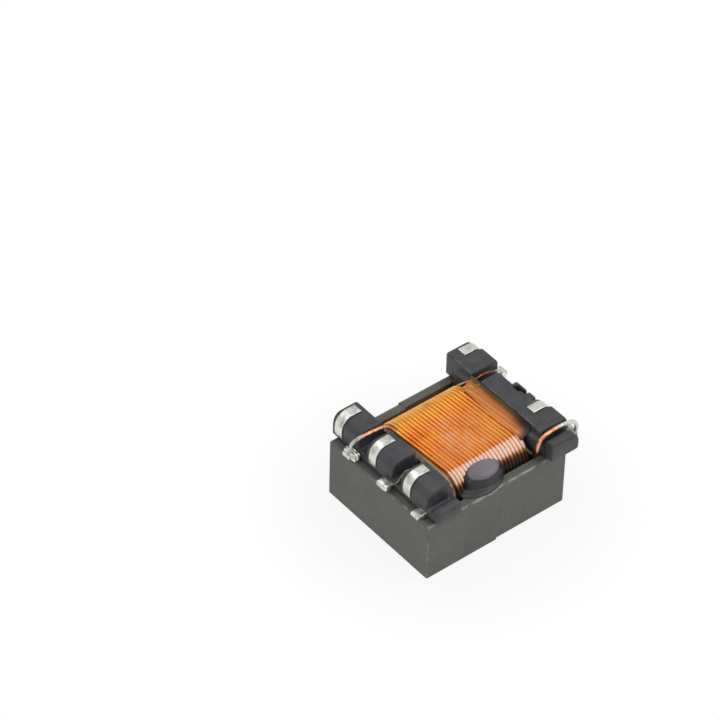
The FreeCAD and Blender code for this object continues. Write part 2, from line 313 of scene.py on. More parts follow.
working = {
    "weld": 0.001,              # mm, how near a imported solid's loose corners are joined
    "flatAngle": 1,             # degrees, up to which its triangles are one face
    "edgeAngle": 20,            # degrees, from which an edge is eased
    "allSmooth": 180,           # degrees, up to which a soft piece is shaded smooth
    "roundSmooth": 60,          # and one with sharp ends
    "relax": 0.5,               # how far one round of relaxing goes
    "wireDetail": 3,            # each adds two sides to a round wire's four
    "threadDetail": 2,
    "wireSteps": 8,             # from one of its places to the next
}


def settle(piece, slotName, material, *nodes):
    piece.data.materials.clear()
    piece.data.materials.append(material)
    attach(piece, "root")
    if nodes:
        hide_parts(*nodes)


def newPiece(name, data):
    piece = bpy.data.objects.new(name, data)
    bpy.context.scene.collection.objects.link(piece)
    makeActive(piece)
    return piece


def applyAll(piece):
    makeActive(piece)
    for modifier in list(piece.modifiers):
        bpy.ops.object.modifier_apply(modifier=modifier.name)


def smooth(piece, degrees=working["allSmooth"]):
    makeActive(piece)
    bpy.ops.object.shade_smooth_by_angle(angle=math.radians(degrees))


def joinInto(piece, others):
    makeActive(piece)
    for other in others:
        other.select_set(True)
    bpy.ops.object.join()


def mergedCopy(nodeName, pieceName):
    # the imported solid's own skin as a new piece, with its loose triangles joined
    piece = newPiece(pieceName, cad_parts[nodeName].data.copy())
    editAll()
    bpy.ops.mesh.remove_doubles(threshold=working["weld"] * mm)
    bpy.ops.mesh.dissolve_limited(angle_limit=math.radians(working["flatAngle"]))
    bpy.ops.mesh.normals_make_consistent(inside=False)
    endEdit()
    return piece


def addEvenShade(piece):
    level = piece.modifiers.new("evenShade", "WEIGHTED_NORMAL")
    level.keep_sharp = False


def addFiner(piece):
    finer = piece.modifiers.new("finer", "SUBSURF")
    finer.levels = 1
    finer.render_levels = 1


def easeEdges(piece, width, steps):
    modifier = piece.modifiers.new("easedEdges", "BEVEL")
    modifier.width = width * mm
    modifier.segments = steps
    modifier.limit_method = "ANGLE"
    modifier.angle_limit = math.radians(working["edgeAngle"])
    modifier.use_clamp_overlap = False
    modifier.miter_outer = "MITER_ARC"
    addEvenShade(piece)
    smooth(piece)
    applyAll(piece)


def soften(piece, grid, rounds, flatAngle=0):
    # an even grid over the whole skin, relaxed until its edges round off
    # like those of a poured or dipped thing
    even = piece.modifiers.new("evenGrid", "REMESH")
    even.mode = "VOXEL"
    even.voxel_size = grid * mm
    relax = piece.modifiers.new("relaxed", "SMOOTH")
    relax.factor = working["relax"]
    relax.iterations = rounds
    if flatAngle:
        flat = piece.modifiers.new("flatFaces", "DECIMATE")
        flat.decimate_type = "DISSOLVE"
        flat.angle_limit = math.radians(flatAngle)
        addEvenShade(piece)
    smooth(piece)
    applyAll(piece)


def wirePiece(name, places, thickness, detail):
    # a round wire on a smooth line through the neighbourhood of its places, in mm
    line = bpy.data.curves.new(name, "CURVE")
    line.dimensions = "3D"
    line.bevel_depth = thickness / 2 * mm
    line.bevel_resolution = detail
    line.use_fill_caps = True
    line.resolution_u = working["wireSteps"]
    spline = line.splines.new("NURBS")
    spline.points.add(len(places) - 1)
    for point, place in zip(spline.points, places):
        point.co = (*(Vector(place) * mm), 1)
    spline.order_u = 3
    spline.use_endpoint_u = True
    newPiece(name, line)
    bpy.ops.object.convert(target="MESH")
    piece = bpy.context.object
    smooth(piece, working["roundSmooth"])
    return piece


# Patterns in the dictionaries below are: how many per mm, how much detail, how rough it is,
# and how it is stretched along x, y and z. Pairs called edges are in mm: where a tone starts
# and where it is full.

# Ferrite core

ferrite = {
    "grey": colour(112, 114, 108),
    "darkGrey": colour(90, 92, 86),
    # worn edges, and a painted highlight along the top outer edges of the walls
    "wornAndHighlight": colour(180, 182, 174),
    "easedWidth": 0.025,        # mm
    "easedSteps": 2,
    "wornEdges": (0.13, 0.02),  # from an outer edge
    "rimEdges": (0.10, 0.01),   # below the rim of the top face
    "rimSideEdges": (0.16, 0.02),   # and in from the side
    "patches": (2.2, 3),
    "rimPatches": (1.1, 2),
    "grain": (16, 4, 0.7),
    "mottle": (4.5, 3, 0.6),
    "cloud": (0.45, 2),
    "mostWearAndHighlight": 0.85,
    "relief": 0.012,            # mm
    "specular": 0.45,
}

coreHalves = {
    # node: piece, and how far it stands out of line to the side, in mm
    "core_half_front": ("coreFront", 0.0),
    "core_half_rear": ("coreRear", 0.08),
}


def ferriteFinish(name, sideStep):
    finish = Finish(name)
    x, y, z = finish.across()
    low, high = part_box("core_half_front")
    halfLength = -low.x * mmPerMetre
    halfWidth = high.y * mmPerMetre
    top = high.z * mmPerMetre
    fromEnd = halfLength - x.apart()
    fromSide = halfWidth - (y - sideStep).apart()
    fromFace = z.least(top - z)
    nearer = fromEnd.least(fromSide)
    further = fromEnd.most(fromSide)
    fromEdge = nearer.most(further.least(fromFace))     # the second smallest of the three
    patches = finish.noise(*ferrite["patches"]).rise(0.42, 0.68)
    edge = fromEdge.rise(*ferrite["wornEdges"]) * patches
    # painted highlight along the outer top edges of the side walls, in patches, partly edge wear
    rimStart, rimFull = ferrite["rimEdges"]
    rim = z.rise(top - rimStart, top - rimFull) * fromSide.rise(*ferrite["rimSideEdges"])
    grain = finish.noise(*ferrite["grain"])
    mottle = finish.noise(*ferrite["mottle"])
    cloud = finish.noise(*ferrite["cloud"])
    shade = cloud.rise(0.3, 0.7) * 0.35 + grain.rise(0.3, 0.75) * 0.35
    shade = shade + mottle.rise(0.35, 0.7) * 0.3
    ground = finish.mix(shade, ferrite["darkGrey"], ferrite["grey"])
    rimPatches = finish.noise(*ferrite["rimPatches"]).rise(0.35, 0.55)
    wearAndHighlight = (edge * 0.5 + rim * rimPatches * 0.7).least(ferrite["mostWearAndHighlight"])
    tone = finish.mix(wearAndHighlight, ground, ferrite["wornAndHighlight"])
    roughness = 0.46 + grain * 0.25
    height = grain * 0.7 + mottle * 0.6
    others = {"Specular IOR Level": ferrite["specular"]}
    return finish.close(tone, roughness, 0.0, height, ferrite["relief"], others)


def makeCore():
    for nodeName, (pieceName, sideStep) in coreHalves.items():
        piece = mergedCopy(nodeName, pieceName)
        easeEdges(piece, ferrite["easedWidth"], ferrite["easedSteps"])
        settle(piece, "ferrite", ferriteFinish(pieceName + "Ferrite", sideStep), nodeName)


makeCore()
print("ferrite core is built")


# Bobbin moulding

moulding = {
    "black": colour(60, 60, 64),
    "dusty": colour(92, 92, 95),
    "rubbedAndSheen": colour(140, 143, 138),
    "grid": 0.055,              # mm, of the skin whose edges are rounded
    "rounds": 8,
    "flatAngle": 1.5,           # degrees
    "railPlace": 2.99,          # mm along x, the rear rail's edge: rubbed, with a painted highlight
    "railEdges": (0.07, 0.02),  # from that edge
    "railTopEdges": (0.12, 0.03),   # and below its top
    "specks": (14, 4, 0.65),
    "cloud": (1.3, 3),
    "dents": (4, 2),
    "relief": 0.012,            # mm
    "specular": 0.5,
}


def mouldingFinish():
    finish = Finish("blackMoulding")
    x, _, z = finish.across()
    specks = finish.noise(*moulding["specks"])
    cloud = finish.noise(*moulding["cloud"])
    dust = cloud.rise(0.38, 0.70) * 0.5 + specks.rise(0.45, 0.8) * 0.4
    tone = finish.mix(dust, moulding["black"], moulding["dusty"])
    low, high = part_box("bobbin")
    top = high.z * mmPerMetre
    # lighter along the rear rail's inner top edge: a painted highlight, partly rubbed plastic
    topStart, topFull = moulding["railTopEdges"]
    railEdge = (x - moulding["railPlace"]).apart().rise(*moulding["railEdges"])
    railEdge = railEdge * z.rise(top - topStart, top - topFull)
    tone = finish.mix(railEdge * cloud.rise(0.3, 0.6) * 0.8, tone, moulding["rubbedAndSheen"])
    roughness = 0.36 + cloud * 0.18 + specks * 0.08
    height = specks * 0.6 + finish.noise(*moulding["dents"]) * 0.9
    others = {"Specular IOR Level": moulding["specular"]}
    return finish.close(tone, roughness, 0.0, height, moulding["relief"], others)


def makeBobbin():
    piece = mergedCopy("bobbin", "bobbinMoulding")
    soften(piece, moulding["grid"], moulding["rounds"], moulding["flatAngle"])
    settle(piece, "moulding", mouldingFinish(), "bobbin")


makeBobbin()
print("bobbin is built")


# Terminals and solder

tin = {
    "bright": colour(224, 224, 218),
    "dull": colour(184, 184, 176),
    "stain": colour(126, 122, 108),
    "solder": colour(232, 232, 226),
    "flux": colour(112, 102, 80),
    "burnt": colour(54, 48, 34),
    "grid": 0.026,              # mm
    "rounds": 3,
    "flatAngle": 1,             # degrees
    "stains": (2.6, 3),
    "fine": (12, 3, 0.6),
    "metallic": 0.92,
    "relief": 0.040,            # mm
}

tinLooks = {
    # name: its three tones, its soft lumps per mm, how much a stain covers
    "dippedTin": ("bright", "dull", "stain", 3.2, 0.4),
    "frozenSolder": ("solder", "dull", "flux", 5.0, 0.6),
    "fluxedSolder": ("dull", "flux", "burnt", 6.0, 0.9),
}


def tinFinish(name):
    bright, dull, stain, lumpsPerMm, stainShare = tinLooks[name]
    finish = Finish(name)
    soft = finish.noise(lumpsPerMm, 2, 0.5)
    fine = finish.noise(*tin["fine"])
    tone = finish.mix(soft.rise(0.3, 0.6), tin[dull], tin[bright])
    stained = finish.noise(*tin["stains"]).rise(0.60, 0.78) * stainShare
    tone = finish.mix(stained, tone, tin[stain])
    roughness = 0.22 + fine * 0.16 + stained * 0.2
    height = soft + fine * 0.15
    return finish.close(tone, roughness, tin["metallic"], height, tin["relief"])


def makeTerminals():
    dipped = tinFinish("dippedTin")
    for number in range(1, 6):
        nodeName = "terminal_%d" % number
        piece = mergedCopy(nodeName, "terminalStrip%d" % number)
        soften(piece, tin["grid"], tin["rounds"], tin["flatAngle"])
        settle(piece, "tinned_strip", dipped, nodeName)


joints = {
    # number: how far the lump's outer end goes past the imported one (mm), how full it is, how
    # many coils show through it, how deep they are (mm), and whether flux left it dark
    1: {"past": 0.00, "full": 1.00, "coils": 2.5, "depth": 0.050, "fluxed": False},
    2: {"past": 0.12, "full": 0.90, "coils": 0.0, "depth": 0.0, "fluxed": False},
    4: {"past": 0.00, "full": 0.92, "coils": 3.0, "depth": 0.025, "fluxed": False},
    5: {"past": 0.04, "full": 1.00, "coils": 2.5, "depth": 0.050, "fluxed": True},
}

lumpForm = {
    "corner": 0.17,             # mm, taken off each edge of the block
    "cornerSteps": 3,
    "cuts": 1,
    "swelling": 0.4,
    "coilLean": 0.1,            # how far the coils shift along for each mm across
    "endFade": 4,               # how soon coils and roughness start from the ends
    "roughPerMm": 3.5,
    "roughness": 0.018,         # mm
    "roughMiddle": 0.6,
}


def makeJoint(number, facts, finish):
    nodeName = "solder_joint_%d" % number
    low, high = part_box(nodeName)
    if low.x < 0:
        low.x -= facts["past"] * mm
    else:
        high.x += facts["past"] * mm
    middle = (low + high) / 2
    size = high - low
    deselectAll()
    bpy.ops.mesh.primitive_cube_add(size=1, location=middle, scale=size)
    piece = bpy.context.object
    piece.name = "solderLump%d" % number
    applyPlace()
    editAll()
    bpy.ops.mesh.bevel(
        offset=lumpForm["corner"] * mm, segments=lumpForm["cornerSteps"], affect="EDGES"
    )
    bpy.ops.mesh.subdivide(number_cuts=lumpForm["cuts"], smoothness=lumpForm["swelling"])
    endEdit()
    addFiner(piece)
    applyAll(piece)
    for vertex in piece.data.vertices:
        place = vertex.co - middle
        share = place.x / size.x + 0.5
        around = Vector((0, place.y, place.z))
        lean = lumpForm["coilLean"] * place.y / mm
        coil = math.sin(2 * math.pi * (share * facts["coils"] + lean))
        ends = min(1, lumpForm["endFade"] * min(share, 1 - share))
        perMetre = lumpForm["roughPerMm"] * mmPerMetre
        rough = noise.noise(vertex.co * perMetre + Vector((number, 0, 0)))
        pits = lumpForm["roughness"] * (rough - lumpForm["roughMiddle"])
        swell = (facts["depth"] * (coil - 1) / 2 + pits) * ends * mm
        if around.length > 0:
            around = around * (facts["full"] + swell / around.length)
        vertex.co = middle + Vector((place.x, around.y, around.z))
    smooth(piece)
    settle(piece, "solder", finish, nodeName)


def makeJoints():
    clean = tinFinish("frozenSolder")
    dark = tinFinish("fluxedSolder")
    for number, facts in joints.items():
        makeJoint(number, facts, dark if facts["fluxed"] else clean)


makeTerminals()
makeJoints()
print("terminals and solder are built")


# Windings

copper = {
    "turns": 21,
    "wire": 0.198,              # mm, just under the pitch
    "pitch": 0.2045,            # mm
    "inset": 0.1,               # mm, from the winding's skin to the wire's middle
    "corner": 1.21,             # mm, radius of the skin where a turn goes round a corner
    "run": 3.44,                # mm, the straight run across the top
    "sides": 10,
    "bendSteps": 8,
    "runSteps": 10,
    "restSteps": 2,
    "rowWeld": 0.003,           # mm, where one turn goes on in the next
    "weld": 0.002,
}

uneven = {
    "wander": 0.014,            # mm, how far a turn strays
    "wanderPerTurn": 3.7,
    "wanderPerMm": 0.5,
    "sink": 0.03,               # mm, how far a turn lies low
    "sinkPerTurn": 1.9,
    "sinkPerMm": 0.7,
    "sinkHeight": 3.2,          # mm, from where up it does
    "fill": 0.55,               # how much of a groove the varnish fills at most
    "spread": 0.12,             # and how much wider a turn looks there
    "filledMiddle": 0.60,       # how filled the grooves are at the middle of the top,
    "filledAlongY": -0.45,      # what each mm along y and x changes,
    "filledAlongX": 0.2,
    "filledPatches": 0.6,       # and how much it differs in patches
    "patchesPerMm": 0.9,
    "endFade": 0.4,             # mm from the first or last turn
    "topHeight": 3.95,          # mm, where the top starts
    "topRise": 0.06,
    "topReach": 2.0,            # mm along y
    "topFade": 0.4,
}

enamel = {
    "orange": colour(248, 164, 60),
    "deep": colour(224, 120, 34),
    "yellow": colour(254, 192, 80),     # on the far side
    "browned": colour(176, 112, 70),    # where varnish fills the grooves
    "rubbedAndSheen": colour(226, 172, 136),    # in the middle of the top: a painted reflection, partly rubbed enamel
    "wornAndHighlight": colour(255, 220, 198),      # painted highlight along the bend, partly worn enamel
    "paintedShade": colour(30, 18, 14),      # painted shade, low on the near side beside the core wall
    "blotches": (1.1, 3),
    "streaks": (2.0, 3, 0.6, (0.25, 1, 1)),
    "yellowEdges": (0.6, 2.4),          # along y
    "yellowPatches": (1.4, 2),
    "rubbedSheenX": (0.3, 1.7),              # mm, middle and half length of the rubbed place with its painted reflection
    "rubbedSheenY": (-0.3, 1.8),
    "rubbedSheenPatches": (0.9, 3),
    "rubbedSheenGrain": (6, 2),
    "wornHighlightSideEdges": (-1.92, -2.06),    # along y
    "wornHighlightTopEdges": (3.74, 3.90),       # along z
    "wornHighlightPatches": (3, 2, 0.5, (1, 0.3, 0.3)),
    "paintedShadeSideEdges": (-2.2, -2.4),   # along y
    "paintedShadeTopEdges": (3.86, 3.62),    # along z
    "paintedShadeStray": 0.2,                # mm
    "dents": (9, 2),
    "relief": 0.005,                    # mm
    "coatRoughness": 0.22,
}


def limited(value):
    return min(1, max(0, value))


def copperFinish(name):
    finish = Finish(name)
    x, y, z = finish.across()
    slant = x + y * (copper["pitch"] / copper["run"])
    turn = finish.node("ShaderNodeCombineXYZ", None, {0: (slant / copper["pitch"]).whole()})
    inputs = {0: turn.outputs[0]}
    byTurn = finish.node("ShaderNodeTexWhiteNoise", {"noise_dimensions": "3D"}, inputs)
    byTurn = Value(finish, byTurn.outputs[0])
    streaks = finish.noise(*enamel["streaks"])
    blotches = finish.noise(*enamel["blotches"])
    own = byTurn * 0.4 + blotches.rise(0.3, 0.7) * 0.6
    tone = finish.mix(own, enamel["deep"], enamel["orange"])
    far = y.rise(*enamel["yellowEdges"])
    far = far * finish.noise(*enamel["yellowPatches"]).rise(0.25, 0.55)
    tone = finish.mix(far * 0.8, tone, enamel["yellow"])
    browned = (x * 0.2 - y * 0.45).rise(-0.5, 0.4) * (0.16 + blotches * 0.2)
    tone = finish.mix(browned, tone, enamel["browned"])
    # painted reflection in the middle of the top, partly rubbed enamel: paler and rougher
    (middleX, halfX), (middleY, halfY) = enamel["rubbedSheenX"], enamel["rubbedSheenY"]
    rubbedSheenX = (1 - ((x - middleX) / halfX).apart()).rise(0, 0.8)
    rubbedSheenY = (1 - ((y - middleY) / halfY).apart()).rise(0, 0.8)
    rubbedAndSheen = finish.noise(*enamel["rubbedSheenPatches"]).rise(0.44, 0.62) * rubbedSheenX * rubbedSheenY
    rubbedAndSheen = rubbedAndSheen * finish.noise(*enamel["rubbedSheenGrain"]).rise(0.3, 0.6)
    tone = finish.mix(rubbedAndSheen * 0.8, tone, enamel["rubbedAndSheen"])
    # painted highlight along the near bend, partly worn enamel: lighter, rougher and less metallic
    wornAndHighlight = y.rise(*enamel["wornHighlightSideEdges"]) * z.rise(*enamel["wornHighlightTopEdges"])
    wornAndHighlight = wornAndHighlight * finish.noise(*enamel["wornHighlightPatches"]).rise(0.15, 0.4)
    tone = finish.mix(wornAndHighlight * 0.85, tone, enamel["wornAndHighlight"])
    # painted shade low on the near side, between the turns and the core wall: near black, dull and
    # hardly metallic
    strayed = z + blotches.stray(enamel["paintedShadeStray"])
    paintedShade = y.rise(*enamel["paintedShadeSideEdges"]) * strayed.rise(*enamel["paintedShadeTopEdges"])
    tone = finish.mix(paintedShade * 0.96, tone, enamel["paintedShade"])
    roughness = 0.30 + rubbedAndSheen * 0.2 + wornAndHighlight * 0.1 + paintedShade * 0.3 + streaks * 0.08
    height = finish.noise(*enamel["dents"]) * 0.6 + streaks * 0.4
    metallic = 0.85 - paintedShade * 0.8 - wornAndHighlight * 0.35
    others = {"Coat Weight": 0.25 - paintedShade * 0.24, "Coat Roughness": enamel["coatRoughness"]}
    return finish.close(tone, roughness, metallic, height, enamel["relief"], others)


def windOneTurn(low, high):
    # one turn of wire from the middle of the top round the bobbin and on to the next one
    pitch = copper["pitch"] * mm
    inset = copper["inset"] * mm
    axisHeight = (low.z + high.z) / 2
    flatY = high.y - copper["corner"] * mm
    flatZ = high.z - axisHeight - copper["corner"] * mm
    middleRadius = copper["corner"] * mm - inset
    start = Vector((low.x + inset, flatY, axisHeight + flatZ + middleRadius))
    deselectAll()
    bpy.ops.mesh.primitive_circle_add(
        vertices=copper["sides"],
        radius=copper["wire"] / 2 * mm,
        location=start,
        rotation=(math.pi / 2, 0, 0),
    )
    piece = bpy.context.object
    piece.name = "copperTurns"
    applyPlace()
    editAll()

    def pull(step, count):
        for _ in range(count):
            bpy.ops.mesh.extrude_region_move(TRANSFORM_OT_translate={"value": step})

    def turnCorner(y, z):
        bpy.ops.mesh.spin(
            steps=copper["bendSteps"],
            angle=math.pi / 2,
            center=Vector((0, y, axisHeight + z)),
            axis=(-1, 0, 0),
            dupli=False,
        )

    runStep = 2 * flatY / copper["runSteps"]
    pull((pitch / copper["runSteps"], -runStep, 0), copper["runSteps"])
    turnCorner(-flatY, flatZ)
    pull((0, 0, -flatZ), copper["restSteps"])
    turnCorner(-flatY, -flatZ)
    pull((0, flatY, 0), copper["restSteps"])
    turnCorner(flatY, -flatZ)
    pull((0, 0, flatZ), copper["restSteps"])
    turnCorner(flatY, flatZ)
    endEdit()
    return piece


def repeatTurn(piece):
    row = piece.modifiers.new("turns", "ARRAY")
    row.count = copper["turns"]
    row.use_relative_offset = False
    row.use_constant_offset = True
    row.constant_offset_displace = (copper["pitch"] * mm, 0, 0)
    row.use_merge_vertices = True
    row.merge_threshold = copper["rowWeld"] * mm
    applyAll(piece)


def shiftTurns(piece, low, high):
    # the turns stray and lie low here and there, and on top varnish fills their grooves
    for vertex in piece.data.vertices:
        place = vertex.co / mm
        along = (place.x - low.x / mm) / copper["pitch"]
        along += (place.y - copper["run"] / 2) / copper["run"]
        turn = math.floor(along)
        fromMiddle = (along - turn) * copper["pitch"] - copper["inset"]
        perMm = uneven["wanderPerMm"]
        spot = (turn * uneven["wanderPerTurn"], place.y * perMm, place.z * perMm + 7)
        wander = noise.noise(Vector(spot))
        spot = (turn * uneven["sinkPerTurn"], place.y * uneven["sinkPerMm"] + 20, 3)
        sink = abs(noise.noise(Vector(spot))) * uneven["sink"]
        sink *= limited(place.z - uneven["sinkHeight"])
        fromFirst = (place.x - low.x / mm) / uneven["endFade"]
        fromLast = (high.x / mm - place.x) / uneven["endFade"]
        inside = min(1, fromFirst, fromLast)
        filled = uneven["filledMiddle"] + uneven["filledAlongY"] * place.y
        filled += uneven["filledAlongX"] * place.x
        perMm = uneven["patchesPerMm"]
        patch = noise.noise(Vector((place.x * perMm, place.y * perMm, 5)))
        filled += uneven["filledPatches"] * patch
        onTop = limited((place.z - uneven["topHeight"]) / uneven["topRise"])
        onTop *= limited((uneven["topReach"] - abs(place.y)) / uneven["topFade"])
        filled = limited(filled) * max(0, inside) * onTop
        depth = max(0, high.z / mm - place.z)
        wider = fromMiddle * uneven["spread"] * filled
        vertex.co.x += (wander * uneven["wander"] * inside + wider) * mm
        vertex.co.z += (depth * uneven["fill"] * filled - sink) * mm


def closeTurns(piece):
    makeActive(piece)
    editAll()
    bpy.ops.mesh.remove_doubles(threshold=copper["weld"] * mm)
    bpy.ops.mesh.select_all(action="DESELECT")
    bpy.ops.mesh.select_non_manifold()
    bpy.ops.mesh.edge_face_add()
    bpy.ops.mesh.select_all(action="SELECT")
    bpy.ops.mesh.normals_make_consistent(inside=False)
    endEdit()


def makeTurns():
    low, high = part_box("outer_winding")
    piece = windOneTurn(low, high)
    repeatTurn(piece)
    shiftTurns(piece, low, high)
    closeTurns(piece)
    smooth(piece, working["roundSmooth"])
    settle(piece, "magnet_wire", copperFinish("enamelledTurns"), "outer_winding")


def colourInnerWinding():
    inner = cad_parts["inner_winding"]
    for held in inner.material_slots:
        held.link = "OBJECT"
        held.material = bpy.data.materials["enamelledTurns"]


makeTurns()
colourInnerWinding()
print("windings are built")


# Tape between the windings, its loose end and its frayed threads

film = {
    "amber": colour(250, 162, 66),
    "rust": colour(190, 96, 40),
    "tan": colour(238, 186, 120),
    "margin": colour(132, 122, 88),
    "dark": colour(74, 72, 56),
    "olive": colour(92, 100, 56),
    "paintedFilmShade": colour(40, 24, 18),
    "crinkle": (3.5, 3, 0.6, (0.4, 1, 1)),
    "turnsLean": 0.06,          # how far the turns under it shift along x for each mm along y
    "rustEdges": (2.52, 2.90),  # along x, where it leaves the turns
    "rustStray": 0.12,          # mm
    "oliveEdges": (4.38, 4.54),     # along z, where it stands against the rail
    "oliveStray": 0.16,
    "paintedFilmShadeEdges": (-0.7, -1.9),     # along y, painted shade on the loose end's near half
    "paintedFilmShadeStray": 0.8,
    "nearFilmShadeEdges": (-1.9, -2.35),    # along y, painted shade at the near end, on the turns too
    "tanEdges": (-1.70, -1.84),     # along x, beside the winding's front end
    "marginEdges": (-1.84, -1.98),
    "marginStray": 0.1,
    "relief": 0.03,             # mm
    "coat": {"Coat Weight": 0.2, "Coat Roughness": 0.25},
    "easedWidth": 0.01,         # mm
}

looseEnd = {
    # section (x, z) in mm: from the turns over the flange and up the rail
    "section": [
        (2.36, 4.19), (2.44, 4.235), (2.58, 4.25), (2.74, 4.31),
        (2.87, 4.38), (2.93, 4.50), (2.955, 4.62), (2.96, 4.72),
    ],
    "ends": (-2.34, 1.98),      # mm along y
    "stations": 60,
    "thickness": 0.02,          # mm
    "ripplesPerMm": 1.6,
    "rippleUp": 0.05,           # mm
    "rippleAcross": 0.02,
    "lean": 0.02,               # mm, how far its top leans back
    "raggedness": 0.03,         # mm
}

threads = {
    "pale": colour(240, 212, 150),
    "places": [
        [
            (2.20, 2.15, 4.20), (2.55, 2.12, 4.30), (2.85, 1.96, 4.42),
            (3.20, 1.84, 4.50), (3.75, 1.83, 4.40),
        ],
        [(2.45, 1.70, 4.22), (2.75, 1.52, 4.38), (2.88, 1.25, 4.42), (2.86, 0.95, 4.36)],
        [(2.30, 2.00, 4.22), (2.60, 1.66, 4.34), (2.90, 1.50, 4.46), (2.93, 1.30, 4.58)],
        [(2.35, 2.30, 4.12), (2.62, 2.20, 4.28), (2.80, 1.80, 4.40), (2.70, 1.45, 4.34)],
    ],
    "width": 0.036,             # mm
    "patches": (4, 2),
    "relief": 0.01,             # mm
}


def filmFinish():
    finish = Finish("amberFilm")
    x, y, z = finish.across()
    crinkle = finish.noise(*film["crinkle"])
    turns = ((x + y * film["turnsLean"]) * (2 * math.pi / copper["pitch"])).wave() * 0.5 + 0.5
    out = (x + crinkle.stray(film["rustStray"])).rise(*film["rustEdges"])
    tone = finish.mix(out * 0.7 + turns * (1 - out) * 0.75, film["amber"], film["rust"])
    up = (z + crinkle.stray(film["oliveStray"])).rise(*film["oliveEdges"])
    tone = finish.mix(up, tone, film["olive"])
    # painted shade: the near end of the film goes dark brown beside the flange and rail
    paintedFilmShade = (y + crinkle.stray(film["paintedFilmShadeStray"])).rise(*film["paintedFilmShadeEdges"]) * out
    tone = finish.mix(paintedFilmShade, tone, film["paintedFilmShade"])
    tone = finish.mix(y.rise(*film["nearFilmShadeEdges"]), tone, film["paintedFilmShade"])
    margin = finish.mix(crinkle.rise(0.35, 0.65), film["margin"], film["dark"])
    tone = finish.mix(x.rise(*film["tanEdges"]), tone, film["tan"])
    beside = (x + crinkle.stray(film["marginStray"])).rise(*film["marginEdges"])
    tone = finish.mix(beside, tone, margin)
    return finish.close(tone, 0.45 + crinkle * 0.2, 0.0, crinkle, film["relief"], film["coat"])


def makeLooseEnd():
    # a strip of film that leaves the turns, lies over the flange and stands against the rail
    section = [Vector((x, 0, z)) for x, z in looseEnd["section"]]
    lastStep = len(section) - 1
    low, high = looseEnd["ends"]
    corner = copper["corner"]
    deselectAll()
    bpy.ops.mesh.primitive_grid_add(
        x_subdivisions=lastStep, y_subdivisions=looseEnd["stations"], size=1
    )
    piece = bpy.context.object
    piece.name = "filmLooseEnd"
    for vertex in piece.data.vertices:
        step = round((vertex.co.x + 0.5) * lastStep)
        share = step / lastStep
        y = low + (vertex.co.y + 0.5) * (high - low)
        place = section[step].copy()
        ripple = noise.noise(Vector((y * looseEnd["ripplesPerMm"], share, 2)))
        pastRun = max(0, abs(y) - copper["run"] / 2)
        place.z -= (1 - share) * (corner - math.sqrt(corner * corner - pastRun * pastRun))
        place.z += share * looseEnd["rippleUp"] * ripple
        across = looseEnd["rippleAcross"] * ripple * min(1, share * 2)
        place.x += across - looseEnd["lean"] * share
        place.y = y + looseEnd["raggedness"] * noise.noise(Vector((y, share * 3, 9)))
        vertex.co = place * mm
    thick = piece.modifiers.new("thick", "SOLIDIFY")
    thick.thickness = looseEnd["thickness"] * mm
    thick.offset = 0
    addFiner(piece)
    applyAll(piece)
    smooth(piece, working["roundSmooth"])
    return piece


def makeThreads():
    strands = [
        wirePiece("filmThreads", places, threads["width"], working["threadDetail"])
        for places in threads["places"]
    ]
    joinInto(strands[0], strands[1:])
    finish = Finish("frayedThread")
    patches = finish.noise(*threads["patches"])
    tone = finish.mix(patches.rise(0.35, 0.65), threads["pale"], film["amber"])
    pale = finish.close(tone, 0.4 + patches * 0.2, 0.0, patches, threads["relief"])
    settle(strands[0], "tape", pale)


def makeFilm():
    wrap = mergedCopy("insulation_tape", "filmWrap")
    easeEdges(wrap, film["easedWidth"], 1)
    joinInto(wrap, [makeLooseEnd()])
    settle(wrap, "tape", filmFinish(), "insulation_tape")
    makeThreads()


makeFilm()
print("tape is built")


# Wire ends

